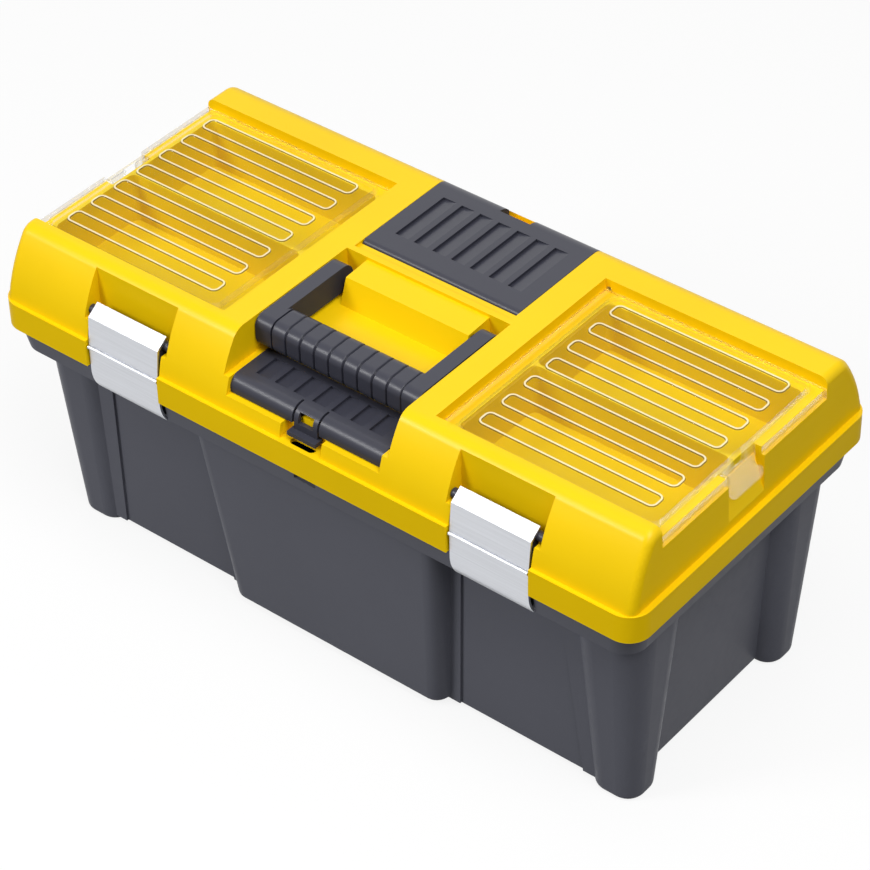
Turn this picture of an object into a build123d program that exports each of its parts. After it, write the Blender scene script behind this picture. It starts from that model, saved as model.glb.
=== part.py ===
"""Tool box with an organiser lid: one STEP file per piece, in millimetres.

X runs along the length, the front is at -Y and the feet stand on Z = 0.
"""
import os

from build123d import *

# Overall size
length = 525.0
depth = 256.0
height = 246.0

# Shared working values
wall = 2.8  # moulded wall of the tub and the lid
thin_wall = 2.2  # wall of the wells and the tray
gap = 0.4  # between pieces that move past each other
pin_gap = 0.1  # radial play of a pin in its hole
overrun = 40.0  # how far a cut runs past the face that it opens
left_and_right = ((-1, "left"), (1, "right"))

# Lid: the flange band along the parting line, and the body above it
seam_z = 175.2
flange_height = 20.8
flange_round = 16.0
foot_drop = 6.0  # the body's foot lies this far below the flange's top
foot_inset = 2.2
waist_inset = 10.0
waist_rise = 24.5
shoulder_inset = 24.5
shoulder_round = 12.0
end_foot_inset = 4.0
end_top_inset = 6.0
corner_round = 6.0
flange_top = seam_z + flange_height
foot_z = flange_top - foot_drop
foot_y = depth / 2 - foot_inset
waist_y = depth / 2 - waist_inset
waist_z = flange_top + waist_rise
shoulder_y = depth / 2 - shoulder_inset
end_foot_x = length / 2 - end_foot_inset
end_top_x = length / 2 - end_top_inset

# Tub: floor, drafted walls and the rim that the lid closes on
floor_z = 5.0
floor_thickness = 3.0
wall_foot_length = 456.0
wall_foot_depth = 180.0
wall_head_length = 482.0
wall_head_depth = 204.0
wall_foot_round = 14.0
wall_head_round = 18.0
rim_low_z = 156.0
rim_top_z = seam_z - gap
rim_top_inset = 4.5
rim_low_inset = 7.6
rim_round = 16.0
upstand_height = 8.0
upstand_thickness = 2.2
upstand_inset = 1.5

# Tub: legs, each a tapering post at a corner
leg_foot_inset = 21.6  # from the box's end to the leg's outer face at the ground
leg_foot_setback = 33.1  # from the box's front to the leg's front face at the ground
leg_head_inset = 11.5
leg_head_setback = 20.5
leg_foot_length = 35.4
leg_foot_depth = 31.8
leg_head_length = 57.0
leg_head_depth = 58.0
leg_foot_round = 13.0
leg_head_round = 20.0
leg_sole_round = 5.0

# Tub: bulge in the middle of the front and of the rear wall
bulge_foot_width = 176.0
bulge_foot_base = 186.0
bulge_head_width = 200.0
bulge_head_base = 211.0
bulge_foot_y = 102.5
bulge_head_y = 118.5
bulge_root = 6.0  # how far the bulge starts inside the wall
bulge_round = 11.0
bulge_sole_round = 4.0

# Tub: low step on the long walls, along each leg and bulge
step_width = 6.0
step_rise = 1.6

# Hinge at the rear: knuckles on the tub and on the lid, one pin for each set
hinge_x = 150.0
hinge_y = 123.5
hinge_z = 170.7
knuckle_radius = 4.4
hinge_pin_radius = 2.0
tub_knuckle_length = 28.0
lid_knuckle_length = 15.0
hinge_pocket_depth = 12.0

# Latches
latch_x = 151.2
latch_width = 61.0
latch_axis_y = -114.5
latch_axis_z = 213.5
latch_pin_radius = 1.8
latch_barrel_radius = 3.4
plate_thickness = 2.0
plate_top = (-113.5, 220.2)
plate_bend = (-122.6, 213.7)
plate_knee = (-125.0, 191.0)
plate_straight_end = (-125.0, 172.0)
plate_curve_mid = (-123.2, 162.4)
plate_end = (-119.4, 155.5)
ridge_radius = 1.5
body_inset = 2.0  # the plastic body is this much narrower at each side
body_back_y = -113.0
body_step_z = 178.0
body_hook_y = -117.9
body_hook_z = 158.5
body_pad_y = -124.0
body_pad_low_z = 174.0
body_pad_high_z = 189.0
body_front = (-121.2, 211.0)
body_low_front = (-119.4, 158.5)
latch_side_gap = 1.2
pocket_back_y = -106.2
pocket_low_back_y = -112.0
pocket_step_z = 204.0
pocket_width = 72.0
pocket_shelf_z = latch_axis_z - latch_barrel_radius - gap
latch_pin_reach = 2.2
rim_pocket_y = -117.3

# Recess for each clear cover, open at the lid's end, and the well under it
recess_inner_x = 86.5
recess_front_y = -94.4
recess_rear_y = 80.5
recess_depth = 10.0
ledge_width = 7.0
ledge_thickness = 2.4
well_outer_x = 248.5
well_floor_z = 195.8
well_round = 5.0
ledge_z = height - recess_depth
recess_mid_y = (recess_front_y + recess_rear_y) / 2

# Clear covers
sheet = 2.0  # thickness of the clear sheet
cover_barrel_radius = 2.2
cover_pin_radius = 1.6
cover_pin_reach = 2.2
cover_axis_x = 89.6
plateau_inner_x = 96.5
plateau_outer_x = well_outer_x + gap + sheet
plateau_side_inset = 2.2
plateau_slope = 1.5
plateau_rise = 4.0
plateau_round = 7.0
lip_drop = 5.4
rib_count = 7
rib_pitch = 22.4
rib_near_x = 106.5
rib_far_x = 240.5
rib_width = 14.0
rib_line = 2.2
rib_height = 0.9
rib_draft = 30.0  # degrees, on each side of a rib
rib_round = 5.0
tab_width = 35.0
tab_slit = 1.0
tab_knee_drop = 5.0  # below the ledge, where the tab turns outwards
tab_drop = 18.0
tab_reach = 9.1
tab_round = 6.0
tab_neck_radius = 3.6
tab_neck_drop = 9.5
tab_window_width = 11.0
tab_window_drop = 4.2
tab_window_rise = 4.0
finger_pocket_drop = 33.0
finger_shelf_drop = 7.5
finger_shelf = 1.0
finger_pocket_margin = 1.5
finger_pocket_low_z = ledge_z - finger_pocket_drop
finger_shelf_z = ledge_z - finger_shelf_drop
finger_pocket = (
    recess_mid_y - tab_width / 2 - finger_pocket_margin,
    recess_mid_y + tab_width / 2 + finger_pocket_margin,
)

# Handle recess and finger trough
handle_recess_half = 67.4
handle_recess_rear_y = 5.0
trough_z = 224.0
trough_front_y = -58.0
grip_bed_z = 218.5
hump_half = 50.5
hump_rear_z = 243.6
hump_fold = (-16.4, 242.4)
hump_foot_y = -23.0

# Handle
handle_axis_y = -13.0
handle_axis_z = 236.5
arm_outer_x = 66.4
arm_width = 11.0
arm_radius = 9.5
stub_radius = 4.0
stub_reach = 3.2
grip_front_y = -88.0
grip_rear_y = -62.0
grip_low_z = 222.5
grip_round = 7.5
grip_half = 53.6
grip_core_inset = 5.0
groove_count = 10
groove_pitch = 11.8
groove_width = 1.0
groove_depth = 1.0

# Front bin and its cover under the grip
front_cover_half = 62.5
front_cover_y = -118.5
front_cover_z = 219.0
front_cover_thickness = 3.0
front_cover_round = 8.5
front_cover_low_z = 207.2
front_axis_y = -82.0
front_axis_z = 215.5
front_barrel_radius = 3.5
front_pin_radius = 2.0
front_pin_reach = 2.6
front_bay_rear_y = -77.5
sill_z = 206.5
front_well_half = 56.0
front_well_front_y = -112.0
front_well_rear_y = -88.0
front_well_floor_z = 194.6
notch_half = 17.0
notch_back_y = -114.9
tongue_half = 9.5
tongue_slit = 1.6
tongue_root_y = -107.0
tongue_window_half = 6.0
tongue_window_low_z = 208.6
tongue_window_top_z = 216.6
finger_bar_half = 11.6
finger_bar_y = -123.4
finger_bar_low_z = 200.4
finger_bar_top_z = 203.4
catch_half = 5.0
catch_top_z = 213.0
padlock_slot_length = 20.0
padlock_slot_width = 6.4
padlock_slot_y = -121.4
rim_notch_half = 9.0
rim_notch_z = 165.0

# Rear bin and its cover, flush with the lid's top
rear_cover_half = 64.4
rear_cover_thickness = 3.0
rear_cover_end_y = 107.0
rear_axis_y = 21.0
rear_axis_z = 242.0
rear_barrel_radius = 4.0
rear_pin_radius = 2.0
rear_pin_reach = 2.4
rear_well_half = 57.0
rear_well_front_y = 28.0
rear_well_rear_y = 93.0
rear_well_floor_z = 199.8
rear_well_top_z = height - rear_cover_thickness - gap
rear_notch_half = 12.5
rear_notch_y = 97.3
hinge_trough_depth = 2.4
hinge_trough_width = 7.0
barrel_bed = 9.9  # length along Y of the trough that the barrel turns in

# Slots that lighten the two grey covers, deep at one side and running out at the other
slot_count = 7
slot_pitch = 15.5
slot_width = 11.0
slot_depth = 2.1
rear_slot_front_y = 36.0
rear_slot_rear_y = 87.0
front_slot_front_y = -105.0
front_slot_rear_y = -86.0

# Lift-out tray that hangs on the tub's rim
tray_play = 2.2  # between the tray's sides and the tub's walls
tray_draft = 8.0
tray_head_length = wall_head_length - 2 * (wall + tray_play)
tray_head_depth = wall_head_depth - 2 * (wall + tray_play)
tray_foot_length = tray_head_length - tray_draft
tray_foot_depth = tray_head_depth - tray_draft
tray_floor_z = 122.0
tray_lip_x = 245.0
tray_lip_half = 80.0
tray_lip_thickness = 2.0
tray_round = 12.0
tray_divider_x = 110.0
tray_bridge_width = 26.0
tray_bridge_half = 62.0
tray_bridge_rise = 17.0
tray_bridge_thickness = 9.0
tray_z = rim_top_z + gap


def span_box(x, y, z, mode=Mode.ADD):
    """Box between two values on each axis, in the part that is being built."""
    with Locations(((x[0] + x[1]) / 2, (y[0] + y[1]) / 2, (z[0] + z[1]) / 2)):
        Box(abs(x[1] - x[0]), abs(y[1] - y[0]), abs(z[1] - z[0]), mode=mode)


def rod(start, end, radius, mode=Mode.ADD):
    """Cylinder between two points that differ along X or along Y."""
    start, end = Vector(*start), Vector(*end)
    middle = (start + end) / 2
    along_x = abs(end.X - start.X) > abs(end.Y - start.Y)
    turn = (0, 90, 0) if along_x else (90, 0, 0)
    with Locations(Location(middle, turn)):
        Cylinder(radius, (end - start).length, mode=mode)


def end_face(z):
    """Distance of the lid's end face from the middle, at a height."""
    return end_foot_x + (end_top_x - end_foot_x) * (z - foot_z) / (height - foot_z)


def lid_form(inset):
    """Solid lid body above the flange, with each face moved in by inset."""
    with BuildPart() as form:
        with BuildSketch(Plane.YZ) as section:
            with BuildLine():
                front = ThreePointArc((-foot_y, foot_z), (-waist_y, waist_z), (-shoulder_y, height))
                rear = ThreePointArc((foot_y, foot_z), (waist_y, waist_z), (shoulder_y, height))
                Line(front @ 1, rear @ 1)
                Line(front @ 0, rear @ 0)
            make_face()
            fillet(section.vertices().group_by(Axis.Y)[-1], shoulder_round)
            if inset:
                offset(amount=-inset)
        extrude(amount=length / 2, both=True)
        with BuildSketch(Plane.XY.offset(foot_z)):
            Rectangle(2 * (end_foot_x - inset), 2 * depth)
        with BuildSketch(Plane.XY.offset(height)):
            Rectangle(2 * (end_top_x - inset), 2 * depth)
        loft(mode=Mode.INTERSECT)
        ends = form.faces().sort_by(Axis.X)
        loops = ends[0].edges().sort_by(Axis.Z)[1:] + ends[-1].edges().sort_by(Axis.Z)[1:]
        fillet(loops, corner_round - inset)
    return form.part


def loft_between(low, high, mode):
    """Straight loft between two sketches, in the part that is being built."""
    loft([low.sketch.face(), high.sketch.face()], ruled=True, mode=mode)


def tub_form(inset, mode):
    """Walls, legs and bulges of the tub, with each face moved in by inset."""
    low_z = floor_z + (floor_thickness if inset else 0)
    top_z = rim_top_z + (overrun if inset else 0)
    with BuildSketch(Plane.XY.offset(low_z)) as foot:
        RectangleRounded(wall_foot_length - 2 * inset, wall_foot_depth - 2 * inset, wall_foot_round - inset)
    with BuildSketch(Plane.XY.offset(rim_low_z)) as head:
        RectangleRounded(wall_head_length - 2 * inset, wall_head_depth - 2 * inset, wall_head_round - inset)
    loft_between(foot, head, mode)
    extrude(head.sketch, amount=top_z - rim_low_z, mode=mode)
    for side_x in (-1, 1):
        for side_y in (-1, 1):
            leg(side_x, side_y, inset, top_z, mode)
    for side_y in (-1, 1):
        bulge(side_y, inset, low_z, top_z, mode)


def leg_outline(side_x, side_y, size_x, size_y, corner, rounding, inset):
    """Rounded outline of a leg, set back from its outer corner."""
    with Locations((side_x * (corner[0] - size_x / 2), side_y * (corner[1] - size_y / 2))):
        RectangleRounded(size_x - 2 * inset, size_y - 2 * inset, rounding - inset)


def leg(side_x, side_y, inset, top_z, mode):
    """Tapering leg from the ground up to the rim, and on through the rim where it is the inside."""
    sole = (length / 2 - leg_foot_inset, depth / 2 - leg_foot_setback)
    shoulder = (length / 2 - leg_head_inset, depth / 2 - leg_head_setback)
    with BuildSketch(Plane.XY.offset(inset)) as foot:
        leg_outline(side_x, side_y, leg_foot_length, leg_foot_depth, sole, leg_foot_round, inset)
    with BuildSketch(Plane.XY.offset(rim_low_z)) as head:
        leg_outline(side_x, side_y, leg_head_length, leg_head_depth, shoulder, leg_head_round, inset)
    loft_between(foot, head, mode)
    if inset:
        extrude(head.sketch, amount=top_z - rim_low_z, mode=mode)


def bulge_outline(side_y, inset, width, base, face_y, wall_depth):
    """Outline of a bulge, from inside the wall out to its rounded front."""
    root_y = side_y * (wall_depth / 2 - bulge_root - inset)
    front_y = side_y * (face_y - inset)
    with BuildSketch(mode=Mode.PRIVATE) as outline:
        with BuildLine():
            Polyline(
                (-base / 2 + inset, root_y),
                (-width / 2 + inset, front_y),
                (width / 2 - inset, front_y),
                (base / 2 - inset, root_y),
                close=True,
            )
        make_face()
        fillet(outline.vertices().group_by(Axis.Y)[-1 if side_y > 0 else 0], bulge_round - inset)
    add(outline.sketch)


def bulge(side_y, inset, low_z, top_z, mode):
    """Bulge from the floor up to the rim, and on through the rim where it is the inside."""
    with BuildSketch(Plane.XY.offset(low_z)) as foot:
        bulge_outline(side_y, inset, bulge_foot_width, bulge_foot_base, bulge_foot_y, wall_foot_depth)
    with BuildSketch(Plane.XY.offset(rim_low_z)) as head:
        bulge_outline(side_y, inset, bulge_head_width, bulge_head_base, bulge_head_y, wall_head_depth)
    loft_between(foot, head, mode)
    if inset:
        extrude(head.sketch, amount=top_z - rim_low_z, mode=mode)


def step_outline(x, wall_y, side_y):
    """Outline of a step at one height, from inside the wall out to its face."""
    root_y = wall_y - side_y * bulge_root
    face_y = wall_y + side_y * step_rise
    with Locations(((x[0] + x[1]) / 2, (root_y + face_y) / 2)):
        Rectangle(abs(x[1] - x[0]), abs(face_y - root_y))


def wall_step(foot_x, head_x, side_y):
    """Low step on a long wall, drafted with it, between two places at the foot and at the head."""
    with BuildSketch(Plane.XY.offset(floor_z)) as foot:
        step_outline(foot_x, side_y * wall_foot_depth / 2, side_y)
    with BuildSketch(Plane.XY.offset(rim_low_z)) as head:
        step_outline(head_x, side_y * wall_head_depth / 2, side_y)
    loft_between(foot, head, Mode.ADD)


def wall_steps(side_y):
    """Steps of one long wall: one behind the bulge and one beside each leg."""
    foot_half = bulge_foot_base / 2 + step_width
    head_half = bulge_head_base / 2 + step_width
    wall_step((-foot_half, foot_half), (-head_half, head_half), side_y)
    foot_far = length / 2 - leg_foot_inset - leg_foot_length / 2
    head_far = length / 2 - leg_head_inset - leg_head_length / 2
    foot_near = foot_far - leg_foot_length / 2 - step_width
    head_near = head_far - leg_head_length / 2 - step_width
    for side_x in (-1, 1):
        wall_step((side_x * foot_near, side_x * foot_far), (side_x * head_near, side_x * head_far), side_y)


def rim_band(inset, low_z, top_z, mode):
    """Drafted band of the rim, with its sides moved in by inset."""
    low_in = 2 * (rim_low_inset + inset)
    top_in = 2 * (rim_top_inset + inset)
    with BuildSketch(Plane.XY.offset(low_z)) as low:
        RectangleRounded(length - low_in, depth - low_in, rim_round - inset)
    with BuildSketch(Plane.XY.offset(top_z)) as high:
        RectangleRounded(length - top_in, depth - top_in, rim_round - inset)
    loft_between(low, high, mode)


def plateau(middle, inset, low_z, top_z):
    """Raised middle of a clear cover, sloping in on all sides, with its sides moved in by inset."""
    size_x = plateau_outer_x - plateau_inner_x - 2 * inset
    size_y = recess_rear_y - recess_front_y - 2 * (gap + plateau_side_inset + inset)
    with BuildSketch(Plane.XY.offset(low_z)) as low:
        with Locations(middle):
            RectangleRounded(size_x, size_y, plateau_round - inset)
    with BuildSketch(Plane.XY.offset(top_z)) as high:
        with Locations(middle):
            RectangleRounded(size_x - 2 * plateau_slope, size_y - 2 * plateau_slope, plateau_round - inset)
    loft_between(low, high, Mode.ADD)


def slots(front_y, rear_y, top_z):
    """Row of wedge-shaped slots across a cover, deep at the left side and running out at the right."""
    for index in range(slot_count):
        slot_x = (index - (slot_count - 1) / 2) * slot_pitch
        with BuildSketch(Plane.XZ.offset(-front_y)) as wedge:
            with BuildLine():
                Polyline(
                    (slot_x - slot_width / 2, top_z + slot_depth),
                    (slot_x - slot_width / 2, top_z - slot_depth),
                    (slot_x + slot_width / 2, top_z),
                    (slot_x + slot_width / 2, top_z + slot_depth),
                    close=True,
                )
            make_face()
        extrude(wedge.sketch, amount=front_y - rear_y, mode=Mode.SUBTRACT)


def save(builder, name):
    """Label a finished piece and write its STEP file."""
    builder.part.label = name
    export_step(builder.part, f"parts/{name}.step")


os.makedirs("parts", exist_ok=True)

# Tub
with BuildPart() as rim_hollow:
    rim_band(wall, rim_low_z, rim_top_z - wall, Mode.ADD)
    with BuildSketch(Plane.XY.offset(rim_low_z)):
        RectangleRounded(wall_head_length, wall_head_depth, wall_head_round)
    extrude(amount=rim_top_z - rim_low_z, mode=Mode.SUBTRACT)

with BuildPart() as tub:
    rim_band(0, rim_low_z, rim_top_z, Mode.ADD)
    add(rim_hollow.part, mode=Mode.SUBTRACT)
    for sign, _ in left_and_right:
        latch_span = (
            sign * (latch_x - latch_width / 2 - latch_side_gap),
            sign * (latch_x + latch_width / 2 + latch_side_gap),
        )
        span_box(latch_span, (rim_pocket_y, -wall_head_depth / 2), (rim_low_z, rim_top_z))
    tub_form(0, Mode.ADD)
    fillet(tub.edges().group_by(Axis.Z)[0], leg_sole_round)
    for side_y in (-1, 1):
        beyond_wall = sorted((side_y * wall_foot_depth / 2, side_y * depth / 2))
        sole = tub.edges().filter_by_position(Axis.Z, floor_z, floor_z)
        sole = sole.filter_by_position(Axis.Y, *beyond_wall, inclusive=(False, False))
        fillet(sole, bulge_sole_round)
        wall_steps(side_y)
    tub_form(wall, Mode.SUBTRACT)
    with BuildSketch(Plane.XY.offset(rim_top_z)):
        ring = rim_top_inset + upstand_inset
        RectangleRounded(length - 2 * ring, depth - 2 * ring, rim_round)
        offset(amount=-upstand_thickness, mode=Mode.SUBTRACT)
    extrude(amount=upstand_height)
    for sign, _ in left_and_right:
        near_x = sign * (latch_x - latch_width / 2 - latch_side_gap)
        far_x = sign * (latch_x + latch_width / 2 + latch_side_gap)
        span_box((near_x, far_x), (-depth / 2 - overrun, rim_pocket_y), (0, height), Mode.SUBTRACT)
        pocket = (sign * (latch_x - pocket_width / 2 - wall), sign * (latch_x + pocket_width / 2 + wall))
        span_box(pocket, (-depth / 2 - overrun, 0), (rim_top_z, height), Mode.SUBTRACT)
        half_set = tub_knuckle_length / 2 + lid_knuckle_length + 2 * gap
        hinge_span = (sign * hinge_x - half_set, sign * hinge_x + half_set)
        pocket_y = depth / 2 - hinge_pocket_depth
        span_box(hinge_span, (pocket_y, depth / 2 + overrun), (rim_low_z, height), Mode.SUBTRACT)
        knuckle = (sign * hinge_x - tub_knuckle_length / 2, sign * hinge_x + tub_knuckle_length / 2)
        span_box(knuckle, (pocket_y, hinge_y), (hinge_z - knuckle_radius, hinge_z))
        span_box(hinge_span, (pocket_y - wall, pocket_y), (rim_low_z, rim_top_z))
        rod((knuckle[0], hinge_y, hinge_z), (knuckle[1], hinge_y, hinge_z), knuckle_radius)
        rod(
            (knuckle[0] - overrun, hinge_y, hinge_z),
            (knuckle[1] + overrun, hinge_y, hinge_z),
            hinge_pin_radius + pin_gap,
            Mode.SUBTRACT,
        )
    rim_notch = (-rim_notch_half, rim_notch_half)
    notch_block = (-rim_notch_half - wall, rim_notch_half + wall)
    span_box(notch_block, (rim_pocket_y, rim_pocket_y + wall), (rim_low_z, rim_top_z))
    span_box(rim_notch, (-depth, rim_pocket_y), (rim_notch_z, height), Mode.SUBTRACT)
save(tub, "tub")

# Lid: solid forms first, then the hollow with the material that the recesses are cut from
lid_outer = lid_form(0)
lid_inner = lid_form(wall)
cover_bed = lid_form(rear_cover_thickness + gap)
lip_bed = lid_form(sheet + gap)

with BuildPart() as lid_hollow:
    add(lid_inner)
    with BuildSketch(Plane.XY.offset(seam_z - overrun)):
        RectangleRounded(length - 2 * wall, depth - 2 * wall, flange_round - wall)
    extrude(amount=flange_top - wall - seam_z + overrun)
    for sign, _ in left_and_right:
        pocket = (sign * (latch_x - pocket_width / 2 - wall), sign * (latch_x + pocket_width / 2 + wall))
        low_z = pocket_step_z - wall
        span_box(pocket, (-depth, pocket_low_back_y + wall), (seam_z - overrun, low_z), Mode.SUBTRACT)
        span_box(pocket, (-depth, pocket_back_y + wall), (low_z, height + overrun), Mode.SUBTRACT)
        bed_x = (sign * (recess_inner_x - wall), sign * length / 2)
        bed_y = (recess_front_y - wall, recess_rear_y + wall)
        span_box(bed_x, bed_y, (ledge_z - ledge_thickness, height + overrun), Mode.SUBTRACT)
        end_x = (sign * well_outer_x, sign * length / 2)
        span_box(end_x, bed_y, (ledge_z - lip_drop - gap - wall, height + overrun), Mode.SUBTRACT)
        tab_y = (finger_pocket[0] - wall, finger_pocket[1] + wall)
        span_box(end_x, tab_y, (finger_pocket_low_z - wall, height + overrun), Mode.SUBTRACT)
    side = handle_recess_half + wall
    rear_y = handle_recess_rear_y + wall
    floor_y = trough_front_y - wall
    span_box((-side, side), (floor_y, rear_y), (trough_z - wall, height + overrun), Mode.SUBTRACT)
    span_box((-side, side), (-depth, trough_front_y), (grip_bed_z - wall, height + overrun), Mode.SUBTRACT)
    bay_y = front_bay_rear_y + wall
    span_box((-side, side), (-depth, bay_y), (sill_z - wall, height + overrun), Mode.SUBTRACT)
    notch = notch_half + wall
    span_box((-notch, notch), (-depth, front_well_front_y), (flange_top - wall, height), Mode.SUBTRACT)
    side = rear_cover_half + gap + wall
    front_y = rear_axis_y - rear_barrel_radius - gap - max(wall, hinge_trough_width)
    low_z = rear_axis_z - rear_barrel_radius - gap - wall
    span_box((-side, side), (front_y, depth), (low_z, height + overrun), Mode.SUBTRACT)

with BuildPart() as lip_cut:
    for sign, _ in left_and_right:
        lip_x = (sign * well_outer_x, sign * (length / 2 + overrun))
        span_box(lip_x, (recess_front_y, recess_rear_y), (ledge_z - lip_drop - gap, height + overrun))
    add(lip_bed, mode=Mode.SUBTRACT)

with BuildPart() as rear_cover_cut:
    front_y = rear_axis_y - rear_barrel_radius - gap
    half = rear_cover_half + gap
    span_box((-half, half), (front_y, rear_cover_end_y + gap), (rear_axis_z - overrun, height + overrun))
    add(cover_bed, mode=Mode.SUBTRACT)
    bed_z = rear_axis_z - rear_barrel_radius - gap
    span_box((-half, half), (front_y, front_y + barrel_bed), (bed_z, height + overrun))
    trough_y = (front_y - hinge_trough_width, front_y)
    span_box((-half, half), trough_y, (height - hinge_trough_depth, height + overrun))

with BuildPart() as lid_shell:
    add(lid_outer)
    with BuildSketch(Plane.XY.offset(seam_z)):
        RectangleRounded(length, depth, flange_round)
    extrude(amount=flange_height)
    add(lid_hollow.part, mode=Mode.SUBTRACT)
    open_top = height + overrun
    for sign, _ in left_and_right:
        near_x = sign * (latch_x - latch_width / 2 - latch_side_gap)
        far_x = sign * (latch_x + latch_width / 2 + latch_side_gap)
        front = (-depth, pocket_back_y)
        span_box((near_x, far_x), (-depth, pocket_low_back_y), (seam_z - overrun, open_top), Mode.SUBTRACT)
        span_box((near_x, far_x), front, (pocket_step_z, open_top), Mode.SUBTRACT)
        pocket = (sign * (latch_x - pocket_width / 2), sign * (latch_x + pocket_width / 2))
        span_box(pocket, front, (pocket_shelf_z, open_top), Mode.SUBTRACT)
        rod(
            (pocket[0] - sign * latch_pin_reach, latch_axis_y, latch_axis_z),
            (pocket[1] + sign * latch_pin_reach, latch_axis_y, latch_axis_z),
            latch_pin_radius + pin_gap,
            Mode.SUBTRACT,
        )
        recess_x = (sign * recess_inner_x, sign * (length / 2 + overrun))
        span_box(recess_x, (recess_front_y, recess_rear_y), (ledge_z, open_top), Mode.SUBTRACT)
        well_x = (sign * (recess_inner_x + ledge_width), sign * well_outer_x)
        well_y = (recess_front_y + ledge_width, recess_rear_y - ledge_width)
        span_box(well_x, well_y, (ledge_z - ledge_thickness - overrun, open_top), Mode.SUBTRACT)
        axis_z = ledge_z + gap + cover_barrel_radius
        rod(
            (sign * cover_axis_x, recess_front_y - wall, axis_z),
            (sign * cover_axis_x, recess_rear_y + wall, axis_z),
            cover_pin_radius + pin_gap,
            Mode.SUBTRACT,
        )
        with BuildSketch(Plane.XZ.offset(-finger_pocket[0])):
            with BuildLine():
                Polyline(
                    (sign * length / 2, open_top),
                    (sign * well_outer_x, open_top),
                    (sign * well_outer_x, finger_shelf_z),
                    (sign * (well_outer_x + finger_shelf), finger_shelf_z),
                    (sign * end_face(finger_pocket_low_z), finger_pocket_low_z),
                    (sign * length / 2, finger_pocket_low_z),
                    close=True,
                )
            make_face()
        extrude(amount=finger_pocket[0] - finger_pocket[1], mode=Mode.SUBTRACT)
    add(lip_cut.part, mode=Mode.SUBTRACT)
    add(rear_cover_cut.part, mode=Mode.SUBTRACT)
    half = rear_well_half
    span_box((-half, half), (rear_well_front_y, rear_well_rear_y), (flange_top, open_top), Mode.SUBTRACT)
    reach = rear_cover_half + gap + rear_pin_reach
    rod(
        (-reach, rear_axis_y, rear_axis_z),
        (reach, rear_axis_y, rear_axis_z),
        rear_pin_radius + pin_gap,
        Mode.SUBTRACT,
    )
    half = handle_recess_half
    span_box((-half, half), (trough_front_y, handle_recess_rear_y), (trough_z, open_top), Mode.SUBTRACT)
    span_box((-half, half), (-depth, trough_front_y), (grip_bed_z, open_top), Mode.SUBTRACT)
    half = front_cover_half + gap
    span_box((-half, half), (-depth, front_bay_rear_y), (sill_z, open_top), Mode.SUBTRACT)
    span_box((-notch_half, notch_half), (-depth, notch_back_y), (flange_top, open_top), Mode.SUBTRACT)
    half = front_well_half
    well_y = (front_well_front_y, front_well_rear_y)
    span_box((-half, half), well_y, (sill_z - wall, open_top), Mode.SUBTRACT)
    span_box((-catch_half, catch_half), (notch_back_y, front_well_front_y), (sill_z, catch_top_z))
    with BuildSketch(Plane.YZ):
        with BuildLine():
            Polyline(
                (handle_recess_rear_y, trough_z),
                (handle_recess_rear_y, hump_rear_z),
                hump_fold,
                (hump_foot_y, trough_z),
                close=True,
            )
        make_face()
    extrude(amount=hump_half, both=True)
    for axis_y, axis_z, radius, reach in (
        (handle_axis_y, handle_axis_z, stub_radius, handle_recess_half + wall),
        (front_axis_y, front_axis_z, front_pin_radius, front_cover_half + gap + front_pin_reach),
    ):
        rod((-reach, axis_y, axis_z), (reach, axis_y, axis_z), radius + pin_gap, Mode.SUBTRACT)
    with BuildSketch(Plane.XY.offset(seam_z)):
        with Locations((0, padlock_slot_y)):
            SlotOverall(padlock_slot_length, padlock_slot_width)
    extrude(amount=flange_height, mode=Mode.SUBTRACT)
    for sign, _ in left_and_right:
        for end in (-1, 1):
            near = sign * hinge_x + end * (tub_knuckle_length / 2 + gap)
            far = near + end * lid_knuckle_length
            knuckle_y = (hinge_y - knuckle_radius, hinge_y + knuckle_radius)
            span_box((near, far), knuckle_y, (hinge_z, flange_top - wall))
            rod((near, hinge_y, hinge_z), (far, hinge_y, hinge_z), knuckle_radius)
            bore_radius = hinge_pin_radius + pin_gap
            rod((near, hinge_y, hinge_z), (far, hinge_y, hinge_z), bore_radius, Mode.SUBTRACT)
save(lid_shell, "lid_shell")

# Wells of the organiser, hanging in the openings of the lid
for sign, side in left_and_right:
    with BuildPart() as side_well:
        near_x = recess_inner_x + ledge_width
        front_y = recess_front_y + ledge_width
        rear_y = recess_rear_y - ledge_width
        span_box((sign * near_x, sign * well_outer_x), (front_y, rear_y), (well_floor_z, ledge_z))
        room_x = well_outer_x - near_x - 2 * thin_wall
        room_y = (rear_y - front_y - 3 * thin_wall) / 2
        room_at = (near_x + well_outer_x) / 2
        with BuildSketch(Plane.XY.offset(well_floor_z + thin_wall)):
            with Locations(
                (sign * room_at, front_y + thin_wall + room_y / 2),
                (sign * room_at, rear_y - thin_wall - room_y / 2),
            ):
                RectangleRounded(room_x, room_y, well_round)
        extrude(amount=overrun, mode=Mode.SUBTRACT)
    save(side_well, f"{side}_well")

for name, half, front_y, rear_y, low_z, top_z in (
    ("front_well", front_well_half, front_well_front_y, front_well_rear_y, front_well_floor_z, sill_z),
    ("rear_well", rear_well_half, rear_well_front_y, rear_well_rear_y, rear_well_floor_z, rear_well_top_z),
):
    with BuildPart() as centre_well:
        span_box((-half, half), (front_y, rear_y), (low_z, top_z))
        with BuildSketch(Plane.XY.offset(low_z + thin_wall)):
            with Locations((0, (front_y + rear_y) / 2)):
                RectangleRounded(2 * (half - thin_wall), rear_y - front_y - 2 * thin_wall, well_round)
        extrude(amount=overrun, mode=Mode.SUBTRACT)
    save(centre_well, name)

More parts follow.
